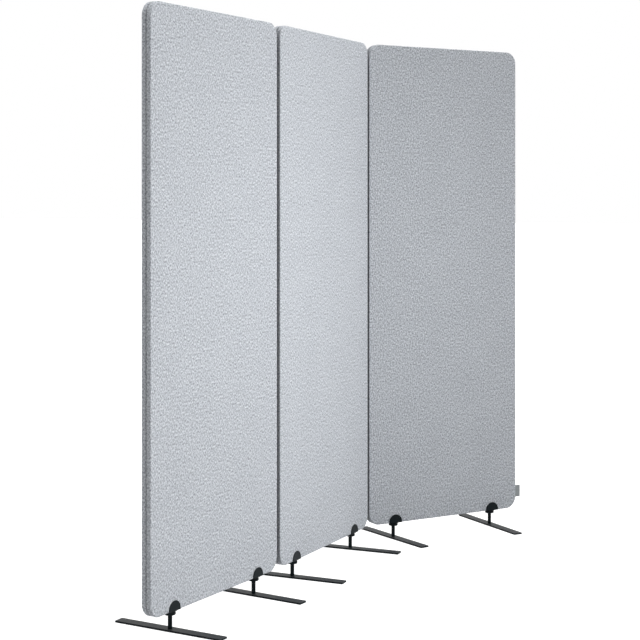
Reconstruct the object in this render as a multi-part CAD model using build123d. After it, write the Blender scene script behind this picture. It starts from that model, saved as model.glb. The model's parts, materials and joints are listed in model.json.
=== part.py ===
from build123d import *
from math import sqrt
import os

# Three-panel floor screen for an office. Each panel is two felt boards in fitted fabric
# covers, joined back to back along a seam that runs all round its edge. Two zips join
# the panels side by side, and each panel stands on two flat black bars.
# Millimetres, +Z up. The middle panel lies along X with its front face towards -Y.
# The screen is stored in the open stance of the photograph, and the origin is on the
# floor under the middle of the whole screen.

# Panel
panel_width = 609.6
panel_height = 1619.0
panel_thickness = 30.0
panel_corner_radius = 40.0
face_edge_radius = 5.0
seam_edge_radius = 3.0
cover_thickness = 1.2
hem_width = 25.0

# Stance: the turn of each outer panel against the middle one, in degrees
left_fold_angle = -3.8
right_fold_angle = -33.5

# Foot bar
foot_inset = 104.0
bar_length = 345.0
bar_width = 33.0
bar_thickness = 5.0
bar_corner_radius = 3.0
bar_edge_ease = 0.8

# Turn of each foot's bar on its stud, in degrees, as the photograph shows them set up
foot_turn_angles = (1.5, -1.0, 3.5, 4.5, 5.5, -1.0)

# Foot post, with the stud that screws into the panel
post_diameter = 12.0
post_height = 37.4
post_edge_ease = 0.6
stud_diameter = 8.0
stud_reach = 22.0

# Collar nut under the jaws
collar_diameter = 31.0
collar_height = 7.0
collar_edge_ease = 1.6
collar_top_ease = 0.6

# Clamp jaws, one on each face of the panel
jaw_sheet = 2.0
jaw_bend_radius = 2.5
jaw_neck_width = 22.0
ear_radius = 25.4
ear_foot_height = 3.0
ear_tip_radius = 1.5

# Threaded insert in the panel's lower edge
insert_diameter = 12.0
insert_length = 26.0

# Countersunk screw from under the bar into the post
screw_diameter = 6.0
screw_head_diameter = 12.0
screw_head_height = 3.0
screw_length = 18.0
screw_recess = 0.4
screw_socket_width = 4.0
screw_socket_depth = 1.8

# Zip between two panels
zip_half_gap = 8.0
zip_end_margin = 46.0
tape_thickness = 0.6
tape_bead_radius = 0.9
tape_grip = 1.5
flange_depth = 15.0
chain_width = 6.0
chain_thickness = 2.4
chain_edge_ease = 0.5

# Stops at the two ends of a zip's chain
top_stop_height = 4.0
top_stop_thickness = 3.6
end_box_width = 9.0
end_box_height = 14.0
end_box_thickness = 4.4

# Zip slider and its pull
slider_length = 13.0
slider_wall = 1.0
slider_top_flare = 0.9
slider_corner_radius = 1.2
bridge_length = 8.4
bridge_width = 2.4
bridge_wall = 0.9
bridge_rise = 1.8
pull_pivot_drop = 2.2
pull_thickness = 1.1
pull_rail_width = 1.0
pull_window_length = 3.4
pull_length = 27.0
pull_tip_hole_diameter = 2.4
pull_tip_hole_inset = 3.4

# Folded woven tab in the seam of the right panel's free edge
tag_layer = 0.5
tag_fold_gap = 0.4
tag_reach = 20.0
tag_root = 12.0
tag_height = 41.0
tag_rise = 34.0

# Clearances
running_clearance = 0.3
thread_clearance = 0.1
stud_hole_clearance = 0.4
cut_overrun = 1.0

# Worked out from the values above
half_thickness = panel_thickness / 2
panel_bottom = bar_thickness + post_height + collar_height + 2 * jaw_sheet
panel_middle = panel_bottom + panel_height / 2
collar_bottom = bar_thickness + post_height
collar_top = collar_bottom + collar_height
zip_bottom = panel_bottom + zip_end_margin
zip_top = panel_bottom + panel_height - zip_end_margin
chain_bottom = zip_bottom + end_box_height
chain_top = zip_top - top_stop_height
slider_parked = chain_top - slider_length / 2 - running_clearance
slider_lowest = chain_bottom + slider_length / 2 + running_clearance
slider_inner_half = chain_thickness / 2 + running_clearance
slider_outer_half = slider_inner_half + slider_wall
slider_half_width = chain_width / 2 + running_clearance + slider_wall
tape_inner_edge = chain_width / 2 - tape_grip
pull_pivot_y = -slider_outer_half - bridge_rise / 2
tag_thickness = 2 * tag_layer + tag_fold_gap


def slab(inset, front, back):
    """An upright slab with round corners between two depths, in from the panel's outline."""
    outline = RectangleRounded(
        panel_width - 2 * inset, panel_height - 2 * inset, panel_corner_radius - inset
    )
    sheet = Plane.XZ.offset(-back) * (Pos(0, panel_middle) * outline)
    return extrude(sheet, amount=back - front)


def front_edges(body):
    """The edges round a slab's front face."""
    return body.faces().sort_by(Axis.Y)[0].edges()


def back_edges(body):
    """The edges round a slab's back face."""
    return body.faces().sort_by(Axis.Y)[-1].edges()


def bevel_under(radius):
    """The bevel on a board that keeps the cover's thickness under a rounded edge."""
    corner_to_arc = radius * (sqrt(2) - 1)
    return sqrt(2) * (cover_thickness + corner_to_arc) - 2 * cover_thickness


def box_between(low, high):
    """A box from its lowest corner to its highest."""
    size = [b - a for a, b in zip(low, high)]
    middle = [(a + b) / 2 for a, b in zip(low, high)]
    return Pos(*middle) * Box(*size)


def upright_cylinder(x, radius, low, high):
    """A cylinder on the panel's middle plane, between two heights."""
    return Pos(x, 0, (low + high) / 2) * Cylinder(radius, high - low)


def insert_solid(x):
    """A threaded barrel in the middle of the panel's lower edge."""
    top = panel_bottom + insert_length
    barrel = upright_cylinder(x, insert_diameter / 2, panel_bottom, top)
    bore_radius = stud_diameter / 2 + thread_clearance
    return barrel - upright_cylinder(
        x, bore_radius, panel_bottom - cut_overrun, top + cut_overrun
    )


def insert_pocket(x):
    """The room that an insert takes in the boards and covers."""
    top = panel_bottom + insert_length
    return upright_cylinder(x, insert_diameter / 2, panel_bottom - cut_overrun, top)


def seam_strip(side, depth, reach, thickness, low, high):
    """A flat strip on the seam's plane, from inside the panel to past its side edge."""
    inner = side * (panel_width / 2 - depth)
    outer = side * (panel_width / 2 + reach)
    return box_between(
        (min(inner, outer), -thickness / 2, low), (max(inner, outer), thickness / 2, high)
    )


def front_half(zip_sides, tag_side):
    """The front board and its cover, with the rooms that other pieces take."""
    outer = slab(0, -half_thickness, 0)
    outer = fillet(back_edges(outer), seam_edge_radius)
    outer = fillet(front_edges(outer), face_edge_radius)
    board = slab(cover_thickness, cover_thickness - half_thickness, -cover_thickness)
    board = chamfer(back_edges(board), bevel_under(seam_edge_radius))
    board = chamfer(front_edges(board), bevel_under(face_edge_radius))
    # Inside the hem the two boards meet and are glued face to face.
    glued = RectangleRounded(
        panel_width - 2 * hem_width,
        panel_height - 2 * hem_width,
        panel_corner_radius - hem_width / 2,
    )
    glued_face = Plane.XZ * (Pos(0, panel_middle) * glued)
    board += extrude(glued_face, amount=cover_thickness)
    cover = outer - board
    for x in foot_places():
        board -= insert_pocket(x)
        cover -= insert_pocket(x)
    for side in zip_sides:
        cover -= seam_strip(side, flange_depth, 0, tape_thickness, zip_bottom, zip_top)
    if tag_side:
        low = panel_bottom + tag_rise
        cover -= seam_strip(tag_side, tag_root, 0, tag_thickness, low, low + tag_height)
    return board, cover


def foot_places():
    """The two feet's places along the panel."""
    place = panel_width / 2 - foot_inset
    return (-place, place)


def foot_bar(x):
    """A flat bar across the panel, with a countersunk hole for its screw."""
    plan = Pos(x, 0) * RectangleRounded(bar_width, bar_length, bar_corner_radius)
    bar = extrude(plan, amount=bar_thickness)
    bar = chamfer(bar.faces().sort_by(Axis.Z)[-1].edges(), bar_edge_ease)
    hole_radius = screw_diameter / 2 + thread_clearance
    bar -= upright_cylinder(x, hole_radius, -cut_overrun, bar_thickness + cut_overrun)
    recess = screw_recess + thread_clearance
    bar -= upright_cylinder(
        x, screw_head_diameter / 2 + thread_clearance, -cut_overrun, recess
    )
    seat = Cone(
        screw_head_diameter / 2 + thread_clearance, hole_radius, screw_head_height
    )
    return bar - Pos(x, 0, recess + screw_head_height / 2) * seat


def foot_post(x):
    """A round post with a stud on top and a tapped hole for the screw below."""
    post = upright_cylinder(x, post_diameter / 2, bar_thickness, collar_bottom)
    post = chamfer(post.faces().sort_by(Axis.Z)[-1].edges(), post_edge_ease)
    stud_top = panel_bottom + stud_reach
    post += upright_cylinder(x, stud_diameter / 2, collar_bottom, stud_top)
    hole_radius = screw_diameter / 2 + thread_clearance
    hole_top = screw_recess + screw_length + thread_clearance
    return post - upright_cylinder(x, hole_radius, 0, hole_top)


def foot_collar(x):
    """A round nut, eased below, that draws both jaws up against the panel."""
    collar = upright_cylinder(x, collar_diameter / 2, collar_bottom, collar_top)
    collar = chamfer(collar.faces().sort_by(Axis.Z)[0].edges(), collar_edge_ease)
    collar = chamfer(collar.faces().sort_by(Axis.Z)[-1].edges(), collar_top_ease)
    bore_radius = stud_diameter / 2 + thread_clearance
    return collar - upright_cylinder(
        x, bore_radius, collar_bottom - cut_overrun, collar_top + cut_overrun
    )


def foot_jaw(x, tongue_top):
    """A front jaw: a round-topped ear, and a tongue bent under the panel to the stud."""
    face = -half_thickness
    end = jaw_neck_width / 2
    leg_top = panel_bottom + ear_radius / 2
    low = tongue_top - jaw_sheet
    bend = Polyline(
        (face - jaw_sheet, leg_top),
        (face - jaw_sheet, low),
        (end, low),
        (end, tongue_top),
        (face, tongue_top),
        (face, leg_top),
        close=True,
    )
    profile = make_face(bend)
    inner_corner = profile.vertices().sort_by_distance((face, tongue_top))[0]
    profile = fillet(inner_corner, jaw_bend_radius)
    outer_corner = profile.vertices().sort_by_distance((face - jaw_sheet, low))[0]
    profile = fillet(outer_corner, jaw_bend_radius + jaw_sheet)
    strip = Pos(x, 0, 0) * extrude(Plane.YZ * profile, amount=end, both=True)
    neck = box_between(
        (x - end, face - jaw_sheet, low), (x + end, 0, leg_top)
    ) + upright_cylinder(x, end, low, tongue_top)
    stud_hole = upright_cylinder(
        x, stud_diameter / 2 + stud_hole_clearance, low - cut_overrun, tongue_top + cut_overrun
    )
    # The ear is a half disc on a low straight foot, with its two tips eased.
    disc = Pos(0, ear_foot_height) * Circle(ear_radius)
    disc -= Pos(0, ear_foot_height - ear_radius / 2) * Rectangle(2 * ear_radius, ear_radius)
    outline = disc + Pos(0, ear_foot_height / 2) * Rectangle(2 * ear_radius, ear_foot_height)
    tips = outline.vertices().group_by(Axis.Y)[0]
    outline = fillet(tips, ear_tip_radius)
    ear_face = Plane.XZ.offset(half_thickness) * (Pos(x, panel_bottom) * outline)
    ear = extrude(ear_face, amount=jaw_sheet)
    return (strip & neck) + ear - stud_hole


def foot_screw(x):
    """A countersunk socket screw."""
    head_top = screw_recess + screw_head_height
    head = Pos(x, 0, (screw_recess + head_top) / 2) * Cone(
        screw_head_diameter / 2, screw_diameter / 2, screw_head_height
    )
    shank = upright_cylinder(
        x, screw_diameter / 2, head_top, screw_recess + screw_length
    )
    socket = extrude(
        Pos(x, 0, screw_recess) * RegularPolygon(screw_socket_width / 2, 6),
        amount=screw_socket_depth,
    )
    return head + shank - socket


def zip_tape(side):
    """One tape: a round bead on the fold line, and a web from it into the chain."""
    bead_x = side * zip_half_gap
    web = box_between(
        (min(side * tape_inner_edge, bead_x), -tape_thickness / 2, zip_bottom),
        (max(side * tape_inner_edge, bead_x), tape_thickness / 2, zip_top),
    )
    bead = Pos(bead_x, 0) * upright_cylinder(0, tape_bead_radius, zip_bottom, zip_top)
    return web + bead


def chain_block(width, thickness, low, high):
    """A length of the chain, or a stop on it, with slots that hold both tapes."""
    plan = RectangleRounded(width, thickness, chain_edge_ease)
    slot_length = width / 2 - tape_inner_edge
    for side in (-1, 1):
        slot = Rectangle(slot_length, tape_thickness)
        plan -= Pos(side * (tape_inner_edge + slot_length / 2), 0) * slot
    return Pos(0, 0, low) * extrude(plan, amount=high - low)


def slider_shield(side):
    """One shield of the slider, with the lips that run along the chain's sides."""
    outer = side * slider_outer_half
    inner = side * slider_inner_half
    top = slider_half_width + slider_top_flare
    plate_outline = make_face(
        Polyline(
            (-slider_half_width, -slider_length / 2),
            (slider_half_width, -slider_length / 2),
            (top, slider_length / 2),
            (-top, slider_length / 2),
            close=True,
        )
    )
    plate_outline = fillet(plate_outline.vertices(), slider_corner_radius)
    lip_end = side * (tape_thickness / 2 + running_clearance)
    plate = Plane.XZ.offset(-max(outer, lip_end)) * plate_outline
    body = extrude(plate, amount=abs(outer - lip_end))
    room = box_between(
        (-chain_width / 2 - running_clearance, min(inner, 0), -slider_length),
        (chain_width / 2 + running_clearance, max(inner, 0), slider_length),
    )
    return body - room


def slider_bridge():
    """The small arch on the front shield that holds the pull."""
    front = -slider_outer_half - bridge_rise - bridge_wall
    arch = box_between(
        (-bridge_width / 2, front, -bridge_length / 2),
        (bridge_width / 2, -slider_outer_half, bridge_length / 2),
    )
    crown = arch.edges().filter_by(Axis.X).sort_by(Axis.Y)[:2]
    arch = fillet(crown, bridge_wall)
    opening = box_between(
        (-bridge_width, -slider_outer_half - bridge_rise, bridge_wall - bridge_length / 2),
        (bridge_width, -slider_outer_half, bridge_length / 2 - bridge_wall),
    )
    return arch - opening


def slider_body():
    """The slider's two shields and its bridge, about its own middle."""
    front = slider_shield(-1) + slider_bridge()
    return Compound(children=[front, slider_shield(1)])


def zip_pull():
    """The flat pull: a pin in the bridge, two rails past it and a long tab."""
    half_width = bridge_width / 2 + running_clearance + pull_rail_width
    pivot = Pos(0, pull_pivot_y, -pull_pivot_drop)
    pin = Rot(0, 90, 0) * Cylinder(pull_thickness / 2, 2 * half_width)
    outline = Pos(0, -pull_length / 2) * Rectangle(2 * half_width, pull_length)
    outline = fillet(outline.vertices().sort_by(Axis.Y)[:2], half_width - running_clearance)
    hole = Circle(pull_tip_hole_diameter / 2)
    outline -= Pos(0, pull_tip_hole_inset - pull_length) * hole
    window = Rectangle(2 * (half_width - pull_rail_width), pull_window_length)
    outline -= Pos(0, -pull_window_length / 2) * window
    tab = extrude(Plane.XZ * outline, amount=pull_thickness / 2, both=True)
    return pivot * (tab + pin)


def side_tag(side):
    """A woven tab folded double, with its two ends held in the seam."""
    low = panel_bottom + tag_rise
    fold_x = side * (panel_width / 2 + tag_reach - tag_thickness / 2)
    root_x = side * (panel_width / 2 - tag_root)
    straight = abs(fold_x - root_x)
    middle = (fold_x + root_x) / 2
    outer = Pos(middle, 0) * Rectangle(straight, tag_thickness)
    outer += Pos(fold_x, 0) * Circle(tag_thickness / 2)
    inner = Pos(middle, 0) * Rectangle(straight, tag_fold_gap)
    inner += Pos(fold_x, 0) * Circle(tag_fold_gap / 2)
    return Pos(0, 0, low) * extrude(outer - inner, amount=tag_height)


def panel_nodes(number, place, zip_sides, tag_side):
    """Every piece that belongs to one panel, set in its place."""
    board, cover = front_half(zip_sides, tag_side)
    name = f"panel_{number}"
    pieces = {
        f"{name}_front_board": board,
        f"{name}_back_board": mirror(board, about=Plane.XZ),
        f"{name}_front_cover": cover,
        f"{name}_back_cover": mirror(cover, about=Plane.XZ),
        f"{name}_foot_inserts": Compound(children=[insert_solid(x) for x in foot_places()]),
        f"{name}_foot_screws": Compound(children=[foot_screw(x) for x in foot_places()]),
    }
    # The tape goes on inside the seam, behind the groove that its bead turns in.
    depth_of_groove = tape_bead_radius + running_clearance
    flanges = [
        seam_strip(s, flange_depth, -depth_of_groove, tape_thickness, zip_bottom, zip_top)
        for s in zip_sides
    ]
    pieces[f"{name}_zip_flanges"] = Compound(children=flanges)
    if tag_side:
        pieces["side_tag"] = side_tag(tag_side)
    for index, x in enumerate(foot_places()):
        foot_number = 2 * number - 1 + index
        foot = f"foot_{foot_number}"
        on_stud = Pos(x, 0) * Rot(0, 0, foot_turn_angles[foot_number - 1])
        pieces[f"{foot}_bar"] = on_stud * foot_bar(0)
        pieces[f"{foot}_post"] = foot_post(x)
        pieces[f"{foot}_collar"] = foot_collar(x)
        pieces[f"{foot}_front_jaw"] = foot_jaw(x, panel_bottom)
        pieces[f"{foot}_back_jaw"] = mirror(
            foot_jaw(x, panel_bottom - jaw_sheet), about=Plane.XZ
        )
    return {node: place * piece for node, piece in pieces.items()}


def zip_nodes(number, place):
    """Every piece of one closed zip, with its slider parked at the top."""
    name = f"zip_{number}"
    chain = [
        chain_block(chain_width, chain_thickness, chain_bottom, chain_top),
        chain_block(chain_width, top_stop_thickness, chain_top, zip_top),
        chain_block(end_box_width, end_box_thickness, zip_bottom, chain_bottom),
    ]
    parked = Pos(0, 0, slider_parked)
    pieces = {
        f"{name}_tapes": Compound(children=[zip_tape(-1), zip_tape(1)]),
        f"{name}_chain": Compound(children=chain),
        f"{name}_slider": parked * slider_body(),
        f"{name}_pull": parked * zip_pull(),
    }
    return {node: place * piece for node, piece in pieces.items()}


def joined_on(side, fold):
    """The places of a zip's two fold lines, its middle and the panel beyond it."""
    half_turn = Rot(0, 0, fold / 2)
    near_line = Pos(side * panel_width / 2, 0)
    zip_place = near_line * half_turn * Pos(side * zip_half_gap, 0)
    far_line = zip_place * Pos(side * zip_half_gap, 0)
    panel_place = far_line * half_turn * Pos(side * panel_width / 2, 0)
    return near_line, zip_place, far_line, panel_place


left_near, left_zip, left_far, left_panel = joined_on(-1, left_fold_angle)
right_near, right_zip, right_far, right_panel = joined_on(1, right_fold_angle)

nodes = {}
nodes.update(panel_nodes(1, left_panel, (1,), 0))
nodes.update(panel_nodes(2, Pos(0, 0), (-1, 1), 0))
nodes.update(panel_nodes(3, right_panel, (-1,), 1))
nodes.update(zip_nodes(1, left_zip))
nodes.update(zip_nodes(2, right_zip))

# The origin goes to the floor under the middle of the whole screen.
middle = Compound(list(nodes.values())).bounding_box().center()
to_origin = Pos(-middle.X, -middle.Y)

os.makedirs("parts", exist_ok=True)
for node, piece in nodes.items():
    export_step(to_origin * piece, f"parts/{node}.step")


def report(name, place):
    """Print where a fold line, a zip or a panel stands, for the record."""
    there = to_origin * place
    turn = there.orientation.Z
    print(f"{name}: {there.position.X:.5f}, {there.position.Y:.5f}, turned {turn:.5f}")


for name, place in {
    "left near line": left_near,
    "left zip": left_zip,
    "left far line": left_far,
    "left panel": left_panel,
    "middle panel": Pos(0, 0),
    "right near line": right_near,
    "right zip": right_zip,
    "right far line": right_far,
    "right panel": right_panel,
}.items():
    report(name, place)
print(f"slider from {slider_parked:.4f} down to {slider_lowest:.4f}")
print(f"pull pivot at depth {pull_pivot_y:.4f}, height {slider_parked - pull_pivot_drop:.4f}")
print(f"panel from {panel_bottom:.4f} to {panel_bottom + panel_height:.4f}")
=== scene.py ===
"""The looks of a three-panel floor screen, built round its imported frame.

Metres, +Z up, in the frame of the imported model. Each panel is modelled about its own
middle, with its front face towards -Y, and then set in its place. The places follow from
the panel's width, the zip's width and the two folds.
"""

import json
import logging
import math
from collections.abc import Callable, Iterable
from dataclasses import dataclass
from enum import Enum

import bmesh
import bpy
from bmesh.types import BMEdge, BMesh, BMVert
from bpy.types import Material
from mathutils import Matrix, Vector, noise


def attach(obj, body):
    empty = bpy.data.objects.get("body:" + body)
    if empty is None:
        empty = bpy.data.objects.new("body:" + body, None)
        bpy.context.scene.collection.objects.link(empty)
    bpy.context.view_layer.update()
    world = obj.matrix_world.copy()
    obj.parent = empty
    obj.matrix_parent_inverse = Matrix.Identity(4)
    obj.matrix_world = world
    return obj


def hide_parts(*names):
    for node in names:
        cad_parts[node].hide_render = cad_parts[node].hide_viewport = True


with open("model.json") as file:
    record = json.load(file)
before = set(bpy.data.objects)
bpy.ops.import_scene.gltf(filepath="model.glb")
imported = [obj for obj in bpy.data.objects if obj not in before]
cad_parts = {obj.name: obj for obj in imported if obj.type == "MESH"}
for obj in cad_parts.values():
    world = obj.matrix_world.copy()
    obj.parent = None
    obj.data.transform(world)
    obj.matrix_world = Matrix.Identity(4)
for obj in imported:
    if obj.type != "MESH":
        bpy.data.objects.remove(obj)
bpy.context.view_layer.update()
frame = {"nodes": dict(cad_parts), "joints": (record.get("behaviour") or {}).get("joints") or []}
log = logging.getLogger("floor_screen")

# Metres and radians. Points closer than WELD are one, edges flatter than LEVEL go, and
# metal edges sharper than CREASE are eased.
MM = 0.001
HAIR = 1e-6
WELD = 0.002 * MM
LEVEL = math.radians(0.5)
CREASE = math.radians(25)
QUARTER = math.pi / 2
UPRIGHT = Matrix.Rotation(QUARTER, 4, "X")
HALF_TURN = Matrix.Rotation(math.pi, 4, "Z")
CLOTH_MAP = "cloth"
# The cover's attribute of painted shade, darkest in the seam's groove and on the ends in the zips'
# gaps.
PAINTED_SHADE_MAP = "grime"
Triple = tuple[float, float, float]
Colour = Triple


class Side(Enum):
    """The two faces of a panel."""

    FRONT = -1
    BACK = 1

    @property
    def word(self) -> str:
        """The face's word in the names of pieces."""
        return self.name.lower()


@dataclass(frozen=True)
class Place:
    """Where a piece's own axes stand: a point, and a turn about +Z."""

    x: float
    y: float
    turn: float
    z: float = 0.0

    def matrix(self) -> Matrix:
        """The transform from the piece's own axes to the frame's."""
        point = Matrix.Translation((self.x, self.y, self.z))
        return point @ Matrix.Rotation(self.turn, 4, "Z")

    def raised(self, height: float) -> "Place":
        """The same place at another height."""
        return Place(self.x, self.y, self.turn, height)

    def beyond(self, distance: float, turn: float) -> "Place":
        """Steps along this place's own X, after a turn about its point.

        Args:
            distance: The step, in metres, along the turned X.
            turn: The turn before the step, in radians.

        Returns:
            The new place.
        """
        angle = self.turn + turn
        x, y = self.x + distance * math.cos(angle), self.y + distance * math.sin(angle)
        return Place(x, y, angle)


@dataclass(frozen=True)
class Stance:
    """How the three panels stand, from the right zip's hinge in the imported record."""

    panel_width: float = 609.6 * MM
    zip_half_gap: float = 8.0 * MM
    folds: tuple[float, float] = (math.radians(-3.8), math.radians(-33.5))

    def middle(self) -> Place:
        """Finds the middle panel, half a panel in from its right hinge.

        Returns:
            The panel's place.
        """
        hinge = next(j for j in frame["joints"] if j["name"] == "zip_2_near_fold")
        x, y, _ = hinge["pos_m"]
        return Place(x - self.panel_width / 2, y, 0.0)

    def joined(self, number: int) -> tuple[Place, Place]:
        """The places of a zip and of the panel beyond it.

        Args:
            number: The zip's number, 1 on the left and 2 on the right.

        Returns:
            The zip's place and the outer panel's.
        """
        way = -1 if number == 1 else 1
        half_turn = self.folds[number - 1] / 2
        near_line = self.middle().beyond(way * self.panel_width / 2, 0)
        zip_place = near_line.beyond(way * self.zip_half_gap, half_turn)
        far_line = zip_place.beyond(way * self.zip_half_gap, 0)
        return zip_place, far_line.beyond(way * self.panel_width / 2, half_turn)


# Shader building


@dataclass(frozen=True)
class Wire:
    """A shader socket that takes part in Python expressions as a number."""

    graph: "Graph"
    socket: bpy.types.NodeSocket

    def _math(self, operation: str, *values: "Wire | float") -> "Wire":
        """One Math node on the given values."""
        inputs = dict(enumerate(values))
        return self.graph.node("ShaderNodeMath", {"operation": operation}, inputs)

    def __add__(self, other: "Wire | float") -> "Wire":
        """Sum."""
        return self._math("ADD", self, other)

    __radd__ = __add__

    def __sub__(self, other: "Wire | float") -> "Wire":
        """Difference."""
        return self._math("SUBTRACT", self, other)

    def __rsub__(self, other: float) -> "Wire":
        """Difference from a number."""
        return self._math("SUBTRACT", other, self)

    def __mul__(self, other: "Wire | float") -> "Wire":
        """Product."""
        return self._math("MULTIPLY", self, other)

    __rmul__ = __mul__

    def __abs__(self) -> "Wire":
        """Size without its sign."""
        return self._math("ABSOLUTE", self)

    def sine(self) -> "Wire":
        """Sine of this value in radians."""
        return self._math("SINE", self)

    def larger(self, other: "Wire | float") -> "Wire":
        """The larger of two values."""
        return self._math("MAXIMUM", self, other)

    def clamped(self) -> "Wire":
        """This value kept between 0 and 1."""
        return self.graph.node("ShaderNodeClamp", {}, {0: self})


class Graph:
    """The node tree of one material, or of the world."""

    def __init__(self, owner: Material | bpy.types.World) -> None:
        """Starts an empty tree.

        Args:
            owner: The material or world that it belongs to.
        """
        self.owner = owner
        owner.use_nodes = True
        self.tree = owner.node_tree
        self.tree.nodes.clear()

    @classmethod
    def of(cls, name: str) -> "Graph":
        """The empty tree of a new material."""
        return cls(bpy.data.materials.new(name))

    def node(
        self,
        kind: str,
        settings: dict[str, object],
        inputs: dict[int | str, object],
        output: int | str = 0,
    ) -> Wire:
        """Adds a node, sets it, and then feeds its sockets.

        Args:
            kind: The node's type.
            settings: Its properties, and "stops" for a colour ramp.
            inputs: Values, RGB colours or wires, by socket number or name.
            output: The socket that the caller reads.

        Returns:
            The wire from that socket, which an output node doesn't have.
        """
        made = self.tree.nodes.new(kind)
        for name, value in settings.items():
            if name == "stops":
                self._set_stops(made.color_ramp, value)
            else:
                setattr(made, name, value)
        for name, value in inputs.items():
            socket = made.inputs[name]
            if isinstance(value, Wire):
                self.tree.links.new(value.socket, socket)
            else:
                socket.default_value = (*value, 1.0) if socket.type == "RGBA" else value
        return Wire(self, made.outputs[output] if made.outputs else None)

    @staticmethod
    def _set_stops(ramp: bpy.types.ColorRamp, stops: list[tuple[float, Colour]]) -> None:
        """Gives a ramp its stops.

        Args:
            ramp: The ramp of a new node.
            stops: Pairs of position and RGB colour.
        """
        while len(ramp.elements) < len(stops):
            ramp.elements.new(1.0)
        for element, (position, colour) in zip(ramp.elements, stops):
            element.position = position
            element.color = (*colour, 1)

    def place(self) -> Wire:
        """The place on the piece, from its Object coordinates in metres."""
        return self.node("ShaderNodeTexCoord", {}, {}, "Object")

    def flat(self) -> Wire:
        """The place on the piece's own cloth map, in metres."""
        return self.node("ShaderNodeUVMap", {"uv_map": CLOTH_MAP}, {})

    def scaled(self, vector: Wire, factors: Triple) -> Wire:
        """A vector with each of its parts times a number of its own."""
        inputs = {0: vector, 1: factors}
        return self.node("ShaderNodeVectorMath", {"operation": "MULTIPLY"}, inputs)

    def cells(self, flat: Wire, across: float, along: float) -> Wire:
        """The cloth map counted in cells of a size in metres."""
        return self.scaled(flat, (1 / across, 1 / along, 1))

    def split(self, vector: Wire) -> tuple[Wire, Wire, Wire]:
        """The three parts of a vector."""
        node = self.node("ShaderNodeSeparateXYZ", {}, {0: vector}).socket.node
        return tuple(Wire(self, socket) for socket in node.outputs)

    def noise(self, vector: Wire, scale: float, detail: float = 0.0) -> Wire:
        """Smooth noise about zero.

        Args:
            vector: Where it is read.
            scale: Its cells to a unit of the vector.
            detail: Its finer layers.

        Returns:
            The noise, mostly within 0.3 of zero.
        """
        inputs = {"Vector": vector, "Scale": scale, "Detail": detail}
        return self.node("ShaderNodeTexNoise", {"noise_dimensions": "3D"}, inputs) - 0.5

    def mixed(self, share: Wire, first: Wire | Colour, second: Wire | Colour) -> Wire:
        """Two colours mixed by a share of the second."""
        settings = {"data_type": "RGBA", "clamp_factor": True}
        return self.node("ShaderNodeMix", settings, {0: share, 6: first, 7: second}, 2)

    def bump(self, height: Wire, distance: float, strength: float) -> Wire:
        """A surface normal that leans with a height.

        Args:
            height: The height, as a share of the distance.
            distance: The height of 1, in metres.
            strength: How far the normal leans, from 0 to 1.

        Returns:
            The normal.
        """
        inputs = {"Strength": strength, "Distance": distance, "Height": height}
        return self.node("ShaderNodeBump", {}, inputs)

    def finished(self, sockets: dict[str, object]) -> Material:
        """Ends the tree in one surface shader.

        Args:
            sockets: The shader's values and wires, by socket name.

        Returns:
            The material.
        """
        shader = self.node("ShaderNodeBsdfPrincipled", {}, sockets)
        self.node("ShaderNodeOutputMaterial", {}, {"Surface": shader})
        return self.owner


# Finishes. A scale is a noise's cells to a metre, and a tone is a pattern's weight.


@dataclass(frozen=True)
class MelangeCloth:
    """Upholstery cloth in a plain weave of pale, mid and dark yarns."""

    pitch: float = 1.15 * MM
    slub_length: float = 5.5 * MM
    fleck_across: float = 4.0 * MM
    fleck_along: float = 5.6 * MM
    yarn_scale: float = 0.9
    cloud_scale: float = 9.0
    fuzz_scale: float = 2600.0
    crossing: float = 3.0
    mean_crown: float = 0.4
    yarn_tone: float = 1.5
    fleck_tone: float = 2.3
    cloud_tone: float = 0.12
    crown_tone: float = 0.12
    relief: float = 0.35 * MM
    dark: Colour = (0.266, 0.285, 0.32)
    mid: Colour = (0.541, 0.57, 0.616)
    pale: Colour = (0.82, 0.846, 0.879)
    # Painted shade: the colour that the seam's groove and the zips' gaps are darkened towards, and
    # the most of it that is mixed in.
    grime: Colour = (0.08, 0.084, 0.09)
    most_grime: float = 0.5

    def material(self) -> Material:
        """Weaves the cloth on the piece's own cloth map, and darkens it with painted shade in the
        seam's groove and the zips' gaps.

        Returns:
            The material.
        """
        g = Graph.of("melange_cloth")
        flat = g.flat()
        across, along, _ = g.split(g.cells(flat, self.pitch, self.pitch))
        wave_x, wave_y = (across * math.pi).sine(), (along * math.pi).sine()
        warp_over = (wave_x * wave_y * self.crossing + 0.5).clamped()
        warp = g.noise(g.cells(flat, self.pitch, self.slub_length), self.yarn_scale)
        weft = g.noise(g.cells(flat, self.slub_length, self.pitch), self.yarn_scale)
        yarn = warp * warp_over + weft * (1 - warp_over)
        fleck = g.noise(g.cells(flat, self.fleck_across, self.fleck_along), 1.0, 1.0)
        cloud = g.noise(flat, self.cloud_scale, 2.0)
        crown = abs(wave_x) * abs(wave_y)
        tone = 0.5 + yarn * self.yarn_tone + fleck * self.fleck_tone
        tone = tone + cloud * self.cloud_tone + (crown - self.mean_crown) * self.crown_tone
        stops = [(0.0, self.dark), (0.5, self.mid), (1.0, self.pale)]
        colour = g.node("ShaderNodeValToRGB", {"stops": stops}, {0: tone})
        fuzz = g.noise(flat, self.fuzz_scale, 1.0)
        # Painted shade from the cover's attribute, mixed into the colour below.
        grime = g.node("ShaderNodeAttribute", {"attribute_name": PAINTED_SHADE_MAP}, {}, "Fac")
        height = crown * 0.7 + yarn * 0.9 + fuzz * 0.4
        return g.finished({
            "Base Color": g.mixed(grime * self.most_grime, colour, self.grime),
            "Roughness": 0.92 - crown * 0.06,
            "Specular IOR Level": 0.25,
            "Sheen Weight": 0.12,
            "Sheen Roughness": 0.5,
            "Normal": g.bump(height, self.relief, 0.55),
        })


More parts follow.
